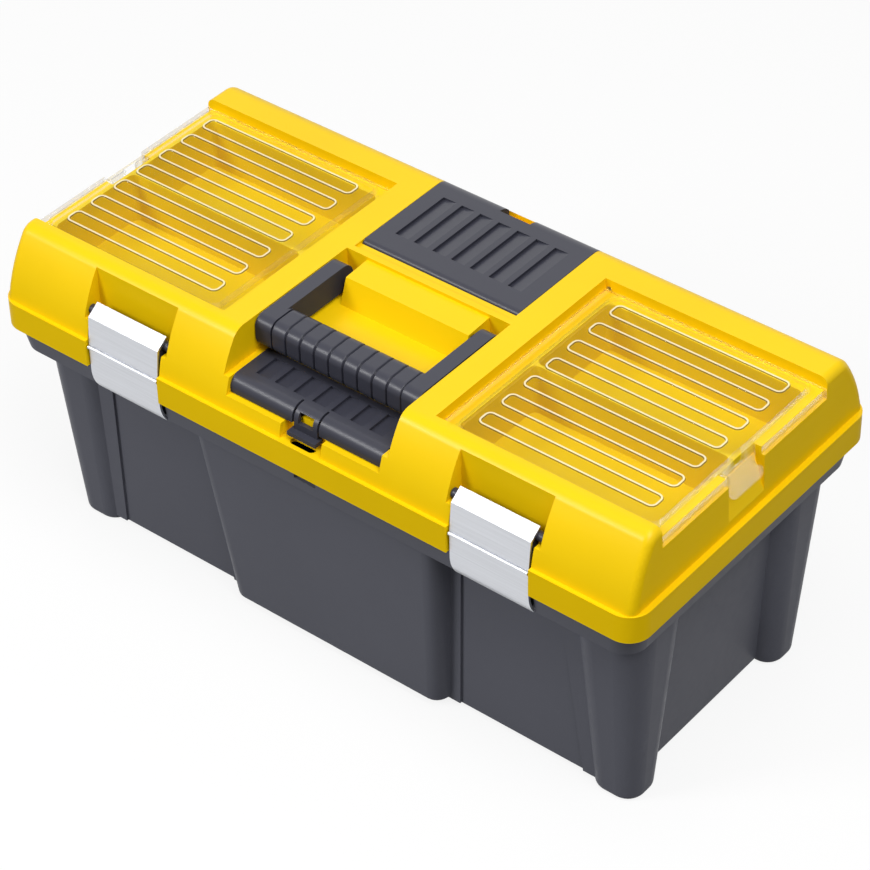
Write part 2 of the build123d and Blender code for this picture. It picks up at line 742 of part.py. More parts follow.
# Clear covers, each turning on a barrel at the inner side of its recess
cover_inside = lid_form(sheet)
cover_low_z = ledge_z + gap
frame_z = cover_low_z + sheet
plateau_z = frame_z + plateau_rise
cover_y = (recess_front_y + gap, recess_rear_y - gap)
for sign, side in left_and_right:
    middle = (sign * (plateau_inner_x + plateau_outer_x) / 2, recess_mid_y)
    with BuildPart() as cover_hollow:
        span_box((sign * cover_axis_x, sign * length), (-depth, depth), (seam_z, cover_low_z))
        add(cover_inside, mode=Mode.INTERSECT)
        plateau(middle, sheet, cover_low_z, plateau_z - sheet)

    with BuildPart() as clear_cover:
        span_box((sign * cover_axis_x, sign * length / 2), cover_y, (cover_low_z, frame_z))
        lip_x = (sign * (well_outer_x + gap), sign * length / 2)
        span_box(lip_x, cover_y, (ledge_z - lip_drop, frame_z))
        add(lid_outer, mode=Mode.INTERSECT)
        bay = tab_width / 2 + tab_slit
        bay_y = (recess_mid_y - bay, recess_mid_y + bay)
        bay_x = (sign * plateau_outer_x, sign * length)
        span_box(bay_x, bay_y, (seam_z, height), Mode.SUBTRACT)
        plateau(middle, 0, cover_low_z, plateau_z)
        add(cover_hollow.part, mode=Mode.SUBTRACT)
        axis_z = cover_low_z + cover_barrel_radius
        axis_x = sign * cover_axis_x
        rod((axis_x, cover_y[0], axis_z), (axis_x, cover_y[1], axis_z), cover_barrel_radius)
        pin_y = (recess_front_y - cover_pin_reach, recess_rear_y + cover_pin_reach)
        rod((axis_x, pin_y[0], axis_z), (axis_x, pin_y[1], axis_z), cover_pin_radius)
        with BuildSketch(Plane.XY.offset(plateau_z)):
            with GridLocations(0, rib_pitch, 1, rib_count):
                with Locations((sign * (rib_near_x + rib_far_x) / 2, recess_mid_y)):
                    RectangleRounded(rib_far_x - rib_near_x, rib_width, rib_round)
            offset(amount=-rib_line, mode=Mode.SUBTRACT)
        extrude(amount=rib_height, taper=rib_draft)
        with BuildSketch(Plane.XZ.offset(tab_width / 2 - recess_mid_y)):
            with BuildLine():
                Polyline(
                    (sign * (plateau_outer_x - sheet / 2), frame_z),
                    (sign * (plateau_outer_x - sheet / 2), ledge_z - tab_knee_drop),
                    (sign * (plateau_outer_x - sheet / 2 + tab_reach), ledge_z - tab_drop),
                )
            trace(line_width=sheet)
        extrude(amount=-tab_width)
        finger_edge = clear_cover.faces().sort_by(Axis.Z)[0]
        fillet(finger_edge.edges().sort_by(SortBy.LENGTH)[:2], tab_round)
        tab_x = (sign * (plateau_outer_x - 2 * sheet), sign * length)
        window_y = (recess_mid_y - tab_window_width / 2, recess_mid_y + tab_window_width / 2)
        window_z = (ledge_z - tab_window_drop, ledge_z + tab_window_rise)
        span_box(tab_x, window_y, window_z, Mode.SUBTRACT)
        for tab_y in (recess_mid_y - tab_width / 2, recess_mid_y + tab_width / 2):
            neck_z = ledge_z - tab_neck_drop
            rod((tab_x[0], tab_y, neck_z), (tab_x[1], tab_y, neck_z), tab_neck_radius, Mode.SUBTRACT)
    save(clear_cover, f"{side}_clear_cover")

# Front bin cover under the grip: folded sheet with a tongue in the middle of its front
with BuildPart() as front_bin_cover:
    under_z = front_cover_z - front_cover_thickness
    inner_y = front_cover_y + front_cover_thickness
    with BuildSketch(Plane.YZ) as fold:
        with BuildLine():
            Polyline(
                (front_axis_y, front_cover_z),
                (front_cover_y, front_cover_z),
                (front_cover_y, front_cover_low_z),
                (inner_y, front_cover_low_z),
                (inner_y, under_z),
                (front_axis_y, under_z),
                close=True,
            )
        make_face()
        outer_corner = fold.vertices().sort_by_distance(Vector(front_cover_y, front_cover_z))[0]
        inner_corner = fold.vertices().sort_by_distance(Vector(inner_y, under_z))[0]
        fillet(outer_corner, front_cover_round)
        fillet(inner_corner, front_cover_round - front_cover_thickness)
    extrude(amount=front_cover_half, both=True)
    slots(front_slot_front_y, front_slot_rear_y, front_cover_z)
    for sign, _ in left_and_right:
        slit = (sign * tongue_half, sign * (tongue_half + tongue_slit))
        span_box(slit, (-depth, tongue_root_y), (sill_z, height), Mode.SUBTRACT)
    half = tongue_half
    span_box((-half, half), (front_cover_y, inner_y), (finger_bar_low_z, front_cover_low_z))
    half = finger_bar_half
    span_box((-half, half), (finger_bar_y, inner_y), (finger_bar_low_z, finger_bar_top_z))
    half = tongue_window_half
    window_z = (tongue_window_low_z, tongue_window_top_z)
    span_box((-half, half), (-depth, front_well_front_y), window_z, Mode.SUBTRACT)
    half = front_cover_half
    rod((-half, front_axis_y, front_axis_z), (half, front_axis_y, front_axis_z), front_barrel_radius)
    reach = front_cover_half + front_pin_reach
    rod((-reach, front_axis_y, front_axis_z), (reach, front_axis_y, front_axis_z), front_pin_radius)
save(front_bin_cover, "front_bin_cover")

# Rear bin cover, which carries on the lid's top and its rear rounding
rear_cover_inside = lid_form(rear_cover_thickness)
with BuildPart() as rear_bin_cover:
    add(lid_outer)
    add(rear_cover_inside, mode=Mode.SUBTRACT)
    half = rear_cover_half
    rear_y = (rear_axis_y, rear_cover_end_y)
    span_box((-half, half), rear_y, (rear_axis_z - overrun, height + overrun), Mode.INTERSECT)
    slots(rear_slot_front_y, rear_slot_rear_y, height)
    notch_x = (-rear_notch_half, rear_notch_half)
    span_box(notch_x, (rear_notch_y, depth), (seam_z, height), Mode.SUBTRACT)
    rod((-half, rear_axis_y, rear_axis_z), (half, rear_axis_y, rear_axis_z), rear_barrel_radius)
    reach = rear_cover_half + rear_pin_reach
    rod((-reach, rear_axis_y, rear_axis_z), (reach, rear_axis_y, rear_axis_z), rear_pin_radius)
save(rear_bin_cover, "rear_bin_cover")

# Handle: bail with two arms and a core bar, and the ribbed grip on the bar
grip_y = (grip_front_y + grip_rear_y) / 2
grip_z = (grip_low_z + height) / 2
grip_depth = grip_rear_y - grip_front_y
grip_height = height - grip_low_z
with BuildPart() as handle_bail:
    for sign, _ in left_and_right:
        arm_span = (sign * (arm_outer_x - arm_width), sign * arm_outer_x)
        arm_z = (handle_axis_z - arm_radius, handle_axis_z + arm_radius)
        span_box(arm_span, (grip_y, handle_axis_y), arm_z)
        near = (arm_span[0], handle_axis_y, handle_axis_z)
        far = (arm_span[1], handle_axis_y, handle_axis_z)
        rod(near, far, arm_radius)
        rod(far, (sign * (arm_outer_x + stub_reach), handle_axis_y, handle_axis_z), stub_radius)
        with BuildSketch(Plane.YZ.offset(sign * grip_half)):
            with Locations((grip_y, grip_z)):
                RectangleRounded(grip_depth, grip_height, grip_round)
        extrude(amount=sign * (arm_outer_x - grip_half))
    core_round = grip_round - grip_core_inset
    with BuildSketch(Plane.YZ):
        with Locations((grip_y, grip_z)):
            core_in = 2 * grip_core_inset
            RectangleRounded(grip_depth - core_in, grip_height - core_in, core_round)
    extrude(amount=grip_half, both=True)
save(handle_bail, "handle_bail")

with BuildPart() as handle_grip:
    with BuildSketch(Plane.YZ):
        with Locations((grip_y, grip_z)):
            RectangleRounded(grip_depth, grip_height, grip_round)
            bore_in = 2 * (grip_core_inset - pin_gap)
            RectangleRounded(grip_depth - bore_in, grip_height - bore_in, core_round, mode=Mode.SUBTRACT)
    extrude(amount=grip_half, both=True)
    for index in range(groove_count):
        groove_x = (index - (groove_count - 1) / 2) * groove_pitch
        with BuildSketch(Plane.YZ.offset(groove_x)):
            with Locations((grip_y, grip_z)):
                RectangleRounded(grip_depth + groove_depth, grip_height + groove_depth, grip_round)
                inner = 2 * groove_depth
                inner_round = grip_round - groove_depth
                RectangleRounded(grip_depth - inner, grip_height - inner, inner_round, mode=Mode.SUBTRACT)
        extrude(amount=groove_width / 2, both=True, mode=Mode.SUBTRACT)
save(handle_grip, "handle_grip")

# Latches: metal plate, plastic body behind it, and the pin in the lid's ears
for sign, side in left_and_right:
    with BuildPart() as latch_plate:
        with BuildSketch(Plane.YZ.offset(sign * latch_x)):
            with BuildLine():
                Polyline(plate_top, plate_bend, plate_knee, plate_straight_end)
                ThreePointArc(plate_straight_end, plate_curve_mid, plate_end)
            trace(line_width=plate_thickness)
        extrude(amount=latch_width / 2, both=True)
        near_x = sign * latch_x - latch_width / 2
        far_x = sign * latch_x + latch_width / 2
        ridge_y = plate_knee[0] - plate_thickness / 2
        with BuildSketch(Plane.YZ.offset(near_x)):
            with Locations((ridge_y, plate_knee[1])):
                Circle(ridge_radius)
                with Locations((ridge_radius, 0)):
                    Rectangle(2 * ridge_radius, 2 * ridge_radius, mode=Mode.SUBTRACT)
        extrude(amount=latch_width)
    save(latch_plate, f"{side}_latch_plate")

    with BuildPart() as latch_body:
        near_x = sign * latch_x - latch_width / 2 + body_inset
        far_x = sign * latch_x + latch_width / 2 - body_inset
        with BuildSketch(Plane.YZ.offset(near_x)):
            with BuildLine():
                Polyline(
                    (body_back_y, latch_axis_z),
                    (body_back_y, body_step_z),
                    (body_hook_y, body_step_z),
                    (body_hook_y, body_hook_z),
                    body_low_front,
                    (body_pad_y, body_pad_low_z),
                    (body_pad_y, body_pad_high_z),
                    body_front,
                    (latch_axis_y, latch_axis_z),
                    close=True,
                )
            make_face()
        extrude(amount=far_x - near_x)
        barrel_half = pocket_width / 2 - gap
        near = (sign * latch_x - barrel_half, latch_axis_y, latch_axis_z)
        far = (sign * latch_x + barrel_half, latch_axis_y, latch_axis_z)
        rod(near, far, latch_barrel_radius)
        rod(near, far, latch_pin_radius + pin_gap, Mode.SUBTRACT)
    save(latch_body, f"{side}_latch_body")

    with BuildPart() as latch_pin:
        pin_half = pocket_width / 2 + latch_pin_reach - pin_gap
        near_x = sign * latch_x - pin_half
        far_x = sign * latch_x + pin_half
        rod((near_x, latch_axis_y, latch_axis_z), (far_x, latch_axis_y, latch_axis_z), latch_pin_radius)
    save(latch_pin, f"{side}_latch_pin")

    with BuildPart() as hinge_pin:
        half_set = tub_knuckle_length / 2 + lid_knuckle_length + gap
        near_x = sign * hinge_x - half_set
        far_x = sign * hinge_x + half_set
        rod((near_x, hinge_y, hinge_z), (far_x, hinge_y, hinge_z), hinge_pin_radius)
    save(hinge_pin, f"{side}_hinge_pin")

# Lift-out tray with end lips, dividers and a bridge to lift it by
with BuildPart() as tool_tray:
    for inset, low_z, top_z, mode in (
        (0, tray_floor_z, tray_z + tray_lip_thickness, Mode.ADD),
        (thin_wall, tray_floor_z + thin_wall, tray_z + tray_lip_thickness, Mode.SUBTRACT),
    ):
        with BuildSketch(Plane.XY.offset(low_z)):
            RectangleRounded(tray_foot_length - 2 * inset, tray_foot_depth - 2 * inset, tray_round - inset)
        with BuildSketch(Plane.XY.offset(top_z)):
            RectangleRounded(tray_head_length - 2 * inset, tray_head_depth - 2 * inset, tray_round - inset)
        loft(ruled=True, mode=mode)
    lip_z = (tray_z, tray_z + tray_lip_thickness)
    room_y = (-tray_foot_depth / 2 + thin_wall, tray_foot_depth / 2 - thin_wall)
    for sign, _ in left_and_right:
        lip_x = (sign * (tray_head_length / 2 - thin_wall), sign * tray_lip_x)
        span_box(lip_x, (-tray_lip_half, tray_lip_half), lip_z)
        divider_x = (sign * tray_divider_x, sign * (tray_divider_x + thin_wall))
        span_box(divider_x, room_y, (tray_floor_z, tray_z))
        post_x = (sign * (tray_bridge_half - tray_bridge_thickness), sign * tray_bridge_half)
        bridge_y = (-tray_bridge_width / 2, tray_bridge_width / 2)
        span_box(post_x, bridge_y, (tray_floor_z, tray_z + tray_bridge_rise))
    bridge_z = (tray_z + tray_bridge_rise - tray_bridge_thickness, tray_z + tray_bridge_rise)
    span_box((-tray_bridge_half, tray_bridge_half), bridge_y, bridge_z)
save(tool_tray, "tool_tray")
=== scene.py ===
"""Tool box with an organiser lid: finishes, softened edges, studio and camera around its solids."""
import math

import bmesh
import bpy
from bpy.props import FloatProperty, FloatVectorProperty, IntProperty, PointerProperty
from mathutils import Matrix, Vector


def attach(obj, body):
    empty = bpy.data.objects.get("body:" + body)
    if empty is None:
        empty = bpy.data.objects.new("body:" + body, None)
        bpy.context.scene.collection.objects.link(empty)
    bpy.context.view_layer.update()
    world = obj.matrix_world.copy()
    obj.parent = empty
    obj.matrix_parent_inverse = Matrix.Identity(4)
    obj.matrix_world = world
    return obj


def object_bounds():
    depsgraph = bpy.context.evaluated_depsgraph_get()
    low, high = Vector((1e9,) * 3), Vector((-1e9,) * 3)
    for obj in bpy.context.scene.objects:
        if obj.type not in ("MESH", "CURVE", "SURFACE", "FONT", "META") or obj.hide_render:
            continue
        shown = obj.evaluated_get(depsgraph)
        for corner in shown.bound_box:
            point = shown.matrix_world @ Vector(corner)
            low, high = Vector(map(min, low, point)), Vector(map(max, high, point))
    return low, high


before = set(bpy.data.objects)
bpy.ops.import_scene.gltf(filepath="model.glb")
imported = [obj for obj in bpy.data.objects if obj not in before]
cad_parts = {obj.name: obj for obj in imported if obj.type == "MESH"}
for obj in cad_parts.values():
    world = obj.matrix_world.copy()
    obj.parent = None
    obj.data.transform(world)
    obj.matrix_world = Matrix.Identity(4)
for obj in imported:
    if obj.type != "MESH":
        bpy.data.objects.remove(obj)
cad_box = [list(corner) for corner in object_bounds()]

bl_info = {
    "name": "Tool Box Dresser",
    "version": (1, 0, 0),
    "blender": (4, 5, 0),
    "location": "View3D > Sidebar > Tool Box",
    "description": "Finishes the pieces of a plastic tool box and sets up a plain studio for it",
    "category": "Object",
}

MM = 0.001

PLASTIC_IOR = 1.49
COAT_IOR = 1.45
METAL_IOR = 1.45
PLATE_ROUGHNESS = 0.36
PIN_ROUGHNESS = 0.3
# Noise stretched along the box, for the drawn lines of rolled metal
DRAWN_ALONG = (0.02, 1.0, 1.0)
# Upright part of the normal between moulded walls and moulded tops
WALL_TO_TOP = (0.15, 0.6)
# Upright part of the normal between bent and flat clear sheet
BENT_TO_FLAT = (0.4, 0.8)
# Shares of a rib's height over which its side, with painted shade, and its crest, with a painted
# highlight, begin
RIB_FOOT = (0.06, 0.12)
RIB_HIGHLIGHT = (0.8, 0.97)
# Share of the light that goes through a bend of the clear sheet
BEND_PASS = 0.9
# Lamps: name, place, side and the setting that holds the power
LAMPS = (
    ("key_lamp", (-1.2, -1.9, 1.7), 0.85, "key_watts"),
    ("fill_lamp", (1.4, -0.6, 2.4), 1.4, "fill_watts"),
    ("top_lamp", (0.3, -0.3, 2.5), 1.2, "top_watts"),
    ("back_lamp", (-1.1, 1.4, 1.7), 1.9, "back_watts"),
)

lowest, highest = (Vector(corner) for corner in cad_box)


def length_prop(name, description, default):
    """Length in metres, shown in the scene's units."""
    return FloatProperty(name=name, description=description, default=default, unit="LENGTH", precision=5)


def colour_prop(name, description, default):
    """Linear colour."""
    return FloatVectorProperty(
        name=name, description=description, default=default, subtype="COLOR", size=3, min=0.0, max=1.0
    )


def share_prop(name, description, default):
    """Number between nought and one."""
    return FloatProperty(
        name=name, description=description, default=default, min=0.0, max=1.0, subtype="FACTOR"
    )


def angle_prop(name, description, degrees):
    """Angle, given in degrees and held in radians."""
    return FloatProperty(
        name=name, description=description, default=math.radians(degrees), subtype="ANGLE"
    )


def power_prop(name, description, watts):
    """Power of a lamp in watts."""
    return FloatProperty(name=name, description=description, default=watts, subtype="POWER")


class FinishSettings(bpy.types.PropertyGroup):
    """Colours and surface finish of the pieces."""

    yellow: colour_prop("Yellow", "Moulded plastic of the lid", (0.96, 0.632, 0.003))
    # Painted shade: the wells are the lid's yellow plastic, darkened here to stand in for the shade under
    # the covers
    well_yellow_painted_shade: colour_prop("Well yellow", "Plastic of the wells under the covers", (0.82, 0.59, 0.006))
    grey: colour_prop("Grey", "Moulded plastic of the tub", (0.131, 0.135, 0.163))
    dark_grey: colour_prop("Dark grey", "Plastic of bin covers, handle and latches", (0.043, 0.044, 0.06))
    tray_grey: colour_prop("Tray grey", "Moulded plastic of the lift-out tray", (0.045, 0.046, 0.055))
    clear: colour_prop("Clear", "Tint of the clear covers", (0.985, 0.99, 0.985))
    # Painted highlight: this light colour on the rib crests stands in for the light caught there
    rib_painted_highlight: colour_prop("Rib crest", "Lit crests of the ribs on the clear covers", (1.0, 0.92, 0.6))
    # Painted shade: this dark colour on the steep rib sides stands in for their shade
    rib_painted_shade: colour_prop("Rib side", "Steep sides of these ribs", (0.1, 0.065, 0.004))
    rib_drop: length_prop("Rib drop", "Foot of these ribs below the top of the box", 3.6 * MM)
    rib_rise: length_prop("Rib rise", "Height of these ribs", 0.9 * MM)
    # How far the painted shade on the rib sides and the painted highlight on the rib crests show
    shade_cover: share_prop("Side cover", "How far the steep sides of these ribs show", 0.7)
    highlight_cover: share_prop("Crest cover", "How far the crests of these ribs show", 0.75)
    bend_cover: share_prop("Bend cover", "How far the steep and bent faces of the clear sheet show", 0.32)
    sheet_cover: share_prop("Sheet cover", "How far the flat clear sheet shows", 0.006)
    silver: colour_prop("Silver", "Metal plates of the latches", (0.62, 0.635, 0.67))
    steel: colour_prop("Steel", "Hinge and latch pins", (0.4, 0.41, 0.43))
    plastic_roughness: share_prop("Plastic roughness", "Roughness of the satin plastic", 0.33)
    yellow_shine: share_prop("Yellow shine", "Strength of the yellow plastic's reflections", 0.015)
    grey_shine: share_prop("Grey shine", "Strength of the tub's reflections", 0.03)
    top_gloss: share_prop("Top gloss", "Gloss of the moulded plastic where it faces up", 0.55)
    dark_shine: share_prop("Dark shine", "Strength of the dark grey plastic's reflections", 0.08)
    grain_size: length_prop("Grain size", "Size of the moulded surface grain", 0.6 * MM)
    grain_height: length_prop("Grain height", "Height of the moulded surface grain", 0.012 * MM)


class EdgeSettings(bpy.types.PropertyGroup):
    """Rounding of the moulded edges."""

    shell_round: length_prop("Shell edges", "Edge rounding of the tub and the lid", 1.5 * MM)
    piece_round: length_prop("Piece edges", "Edge rounding of covers, handle and latches", 0.8 * MM)
    sheet_round: length_prop("Sheet edges", "Edge rounding of the clear sheet and its ribs", 0.3 * MM)
    sharp_angle: angle_prop("Sharp angle", "Edges that turn by more than this are rounded", 28.0)
    segments: IntProperty(name="Segments", description="Steps across a rounded edge", default=3, min=1)


class RimSettings(bpy.types.PropertyGroup):
    """Walls that carry the four legs up inside the hollow rim."""

    end_inset: length_prop("End inset", "From the end in to a leg's face at the rim", 11.5 * MM)
    side_inset: length_prop("Side inset", "From the long side in to a leg's face at the rim", 20.5 * MM)
    leg_length: length_prop("Leg length", "Size of a leg at the rim, along the box", 57.0 * MM)
    leg_depth: length_prop("Leg depth", "Size of a leg at the rim, across the box", 58.0 * MM)
    leg_round: length_prop("Leg round", "Rounding of a leg's corners at the rim", 20.0 * MM)
    thickness: length_prop("Thickness", "Thickness of the tub's walls", 2.8 * MM)
    low: length_prop("Low", "Height at which a leg's wall reaches the rim", 155.9 * MM)
    high: length_prop("High", "Height of the rim's top plate", 173.4 * MM)
    arc_steps: IntProperty(name="Arc steps", description="Faces round each corner", default=14, min=2)


class StageSettings(bpy.types.PropertyGroup):
    """Floor, lamps and camera."""

    azimuth: angle_prop("Azimuth", "Camera's turn to the right of the front", 39.59)
    elevation: angle_prop("Elevation", "Camera's height angle", 39.89)
    roll: angle_prop("Roll", "Camera's tilt", -1.41)
    distance: length_prop("Distance", "From the camera to its target", 2.15437)
    target: FloatVectorProperty(
        name="Target",
        description="Point that the camera looks at",
        default=(0.00444, 0.0035, 0.12384),
        subtype="XYZ",
    )
    lens: FloatProperty(name="Lens", description="Focal length in millimetres", default=133.9)
    floor_size: length_prop("Floor size", "Side of the floor", 8.0)
    floor_white: share_prop("Floor white", "How far the floor shows as plain white", 0.86)
    floor_tone: share_prop("Floor tone", "Paleness of the floor as the box sees it", 0.2)
    world_level: FloatProperty(name="World level", description="Strength of the even light", default=0.15)
    key_watts: power_prop("Key", "Power of the lamp at the front left", 32.7)
    fill_watts: power_prop("Fill", "Power of the lamp at the right", 37.0)
    back_watts: power_prop("Back", "Power of the lamp at the rear left", 4.0)
    top_watts: power_prop("Top", "Power of the lamp above", 17.0)


def finish_of(context):
    """Finish settings of the scene."""
    return context.scene.toolbox_finish


def edges_of(context):
    """Edge settings of the scene."""
    return context.scene.toolbox_edges


class NodeBoard:
    """Material with its nodes, laid out one after the other."""

    def __init__(self, name):
        self.material = bpy.data.materials.new(name)
        self.material.use_nodes = True
        self.tree = self.material.node_tree
        self.shader = self.tree.nodes["Principled BSDF"]

    def add(self, kind, **settings):
        """New node with the given settings."""
        node = self.tree.nodes.new(kind)
        for key, value in settings.items():
            setattr(node, key, value)
        return node

    def link(self, source, target):
        """Join an output socket to an input socket."""
        self.tree.links.new(source, target)

    def shade(self, **values):
        """Constant values of the surface shader, by socket name."""
        for key, value in values.items():
            self.shader.inputs[key.replace("_", " ")].default_value = value

    def noise(self, scale, detail, stretch=(1.0, 1.0, 1.0)):
        """Noise in the piece's own space, at scale per metre."""
        place = self.add("ShaderNodeTexCoord")
        mapping = self.add("ShaderNodeMapping")
        mapping.inputs["Scale"].default_value = stretch
        noise = self.add("ShaderNodeTexNoise")
        noise.inputs["Scale"].default_value = scale
        noise.inputs["Detail"].default_value = detail
        self.link(place.outputs["Object"], mapping.inputs["Vector"])
        self.link(mapping.outputs["Vector"], noise.inputs["Vector"])
        return noise.outputs["Fac"]

    def band(self, source, start, end, low=0.0, high=1.0):
        """Socket that runs from low to high while the source runs from start to end."""
        span = self.add("ShaderNodeMapRange")
        for key, value in (("From Min", start), ("From Max", end), ("To Min", low), ("To Max", high)):
            span.inputs[key].default_value = value
        self.link(source, span.inputs["Value"])
        return span.outputs["Result"]

    def spread(self, source, low, high, socket):
        """Turn the middle band of a noise into values between low and high on a shader socket."""
        self.link(self.band(source, 0.3, 0.7, low, high), self.shader.inputs[socket])

    def upright(self, kind):
        """Vertical part of a coordinate of the piece's own space, such as its place or normal."""
        place = self.add("ShaderNodeTexCoord")
        parts = self.add("ShaderNodeSeparateXYZ")
        self.link(place.outputs[kind], parts.inputs["Vector"])
        return parts.outputs["Z"]

    def blend(self, share, first, second):
        """Socket between two colours or sockets, by a share."""
        mix = self.add("ShaderNodeMix", data_type="RGBA")
        sides = [socket for socket in mix.inputs if socket.type == "RGBA"]
        self.link(share, mix.inputs["Factor"])
        for side, value in zip(sides, (first, second)):
            if isinstance(value, bpy.types.NodeSocket):
                self.link(value, side)
            else:
                side.default_value = (*value, 1.0)
        return next(socket for socket in mix.outputs if socket.type == "RGBA")

    def tone(self, source, dark, light):
        """Base colour that runs from dark to light with a noise."""
        ramp = self.add("ShaderNodeValToRGB")
        ramp.color_ramp.elements[0].position = 0.3
        ramp.color_ramp.elements[1].position = 0.7
        ramp.color_ramp.elements[0].color = (*dark, 1.0)
        ramp.color_ramp.elements[1].color = (*light, 1.0)
        self.link(source, ramp.inputs["Fac"])
        self.link(ramp.outputs["Color"], self.shader.inputs["Base Color"])

    def bump(self, source, height):
        """Surface relief of the given height in metres."""
        relief = self.add("ShaderNodeBump")
        relief.inputs["Strength"].default_value = 1.0
        relief.inputs["Distance"].default_value = height
        self.link(source, relief.inputs["Height"])
        self.link(relief.outputs["Normal"], self.shader.inputs["Normal"])


def toned(colour, factor):
    """Colour made darker or lighter."""
    return tuple(min(1.0, channel * factor) for channel in colour)


def moulded_plastic(name, colour, finish, shine):
    """Satin moulded plastic: slight flow tones and fine grain, glossier on top than on its walls."""
    board = NodeBoard(name)
    base = finish.plastic_roughness
    board.shade(IOR=PLASTIC_IOR, Specular_IOR_Level=shine, Coat_IOR=COAT_IOR, Coat_Roughness=base)
    gloss = board.band(board.upright("Normal"), *WALL_TO_TOP, 0.0, finish.top_gloss)
    board.link(gloss, board.shader.inputs["Coat Weight"])
    flow = board.noise(9.0, 3.0)
    board.tone(flow, toned(colour, 0.965), toned(colour, 1.03))
    grain = board.noise(1.0 / finish.grain_size, 2.0)
    board.spread(board.noise(160.0, 4.0), base - 0.05, base + 0.05, "Roughness")
    board.bump(grain, finish.grain_height)
    return board.material


def clear_plastic(name, finish):
    """Clear sheet, hardly seen where flat and paler at bends, with ribs whose crests carry a painted
    highlight and whose steep sides carry painted shade.
    """
    board = NodeBoard(name)
    board.shade(IOR=PLASTIC_IOR)
    steep = board.add("ShaderNodeMath", operation="ABSOLUTE")
    board.link(board.upright("Normal"), steep.inputs[0])
    foot = highest.z - finish.rib_drop
    rib = board.band(board.upright("Object"), *(foot + share * finish.rib_rise for share in RIB_FOOT))
    highlight_band = board.band(board.upright("Object"), *(foot + share * finish.rib_rise for share in RIB_HIGHLIGHT))
    sheet_cover = board.band(steep.outputs[0], *BENT_TO_FLAT, finish.bend_cover, finish.sheet_cover)
    rib_cover = board.band(highlight_band, 0.0, 1.0, finish.shade_cover, finish.highlight_cover)
    board.link(board.blend(rib, sheet_cover, rib_cover), board.shader.inputs["Alpha"])
    # Painted light on the ribs: shade colour on the steep sides, highlight colour on the crests
    rib_painted_light = board.blend(highlight_band, finish.rib_painted_shade, finish.rib_painted_highlight)
    board.link(board.blend(rib, finish.clear, rib_painted_light), board.shader.inputs["Base Color"])
    bend = board.band(steep.outputs[0], *BENT_TO_FLAT, BEND_PASS, 0.0)
    board.link(board.blend(rib, bend, (0.0, 0.0, 0.0)), board.shader.inputs["Transmission Weight"])
    board.spread(board.noise(140.0, 3.0), 0.02, 0.06, "Roughness")
    return board.material


def satin_metal(name, colour, roughness, stretch):
    """Rolled metal with fine drawn lines across the stretch direction."""
    board = NodeBoard(name)
    board.shade(Metallic=1.0, IOR=METAL_IOR)
    lines = board.noise(900.0, 3.0, stretch)
    board.tone(lines, toned(colour, 0.94), toned(colour, 1.05))
    board.spread(lines, roughness - 0.06, roughness + 0.06, "Roughness")
    board.bump(lines, 0.006 * MM)
    return board.material


def soften(node, width, edges):
    """Rounded, evenly shaded edges on a solid, by modifiers that leave its mesh as it is."""
    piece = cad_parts[node]
    weld = piece.modifiers.new("weld", "WELD")
    weld.merge_threshold = 0.002 * MM
    bevel = piece.modifiers.new("rounded_edges", "BEVEL")
    bevel.width = width
    bevel.segments = edges.segments
    bevel.limit_method = "ANGLE"
    bevel.angle_limit = edges.sharp_angle
    bevel.harden_normals = True
    bevel.use_clamp_overlap = True
    bevel.miter_outer = "MITER_ARC"
    normals = piece.modifiers.new("even_shading", "WEIGHTED_NORMAL")
    normals.keep_sharp = True
    normals.weight = 60


def paint(node, material):
    """Give a solid one material."""
    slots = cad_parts[node].data.materials
    slots.clear()
    slots.append(material)


def dress(context, nodes, material, width):
    """Soften and paint a group of solids."""
    for node in nodes:
        soften(node, width, edges_of(context))
        paint(node, material)


class TOOLBOX_OT_tub(bpy.types.Operator):
    """Finish the tub in grey satin plastic"""

    bl_idname = "toolbox.tub"
    bl_label = "Tub"

    def execute(self, context):
        finish = finish_of(context)
        material = moulded_plastic("tub_plastic", finish.grey, finish, finish.grey_shine)
        dress(context, ["tub"], material, edges_of(context).shell_round)
        return {"FINISHED"}


def leg_head_path(rim, inset):
    """Outer faces of a leg at the rim, from the long wall round to the end wall, set in by inset."""
    far_x = highest.x - rim.end_inset - rim.leg_round
    near_x = highest.x - rim.end_inset - rim.leg_length + rim.leg_round
    far_y = highest.y - rim.side_inset - rim.leg_round
    near_y = highest.y - rim.side_inset - rim.leg_depth + rim.leg_round
    arcs = (((near_x, far_y), 145.0, 90.0), ((far_x, far_y), 90.0, 0.0), ((far_x, near_y), 0.0, -70.0))
    reach = rim.leg_round - inset
    path = []
    for middle, start, end in arcs:
        for step in range(rim.arc_steps + 1):
            angle = math.radians(start + (end - start) * step / rim.arc_steps)
            path.append(Vector(middle) + reach * Vector((math.cos(angle), math.sin(angle))))
    return path


def leg_head_mesh(rim):
    """Walls of the four legs between the rim's foot and its top plate."""
    walls = bmesh.new()
    outer, inner = leg_head_path(rim, 0.0), leg_head_path(rim, rim.thickness)
    for side_x in (-1, 1):
        for side_y in (-1, 1):
            rings = []
            for face, back in zip(outer, inner):
                corners = ((face, rim.low), (face, rim.high), (back, rim.high), (back, rim.low))
                rings.append([walls.verts.new((side_x * at.x, side_y * at.y, z)) for at, z in corners])
            for first, second in zip(rings, rings[1:]):
                for here, beyond in zip(range(4), (1, 2, 3, 0)):
                    walls.faces.new((first[here], first[beyond], second[beyond], second[here]))
            walls.faces.new(rings[0])
            walls.faces.new(rings[-1])
    bmesh.ops.recalc_face_normals(walls, faces=walls.faces)
    mesh = bpy.data.meshes.new("leg_head_walls")
    walls.to_mesh(mesh)
    walls.free()
    return mesh


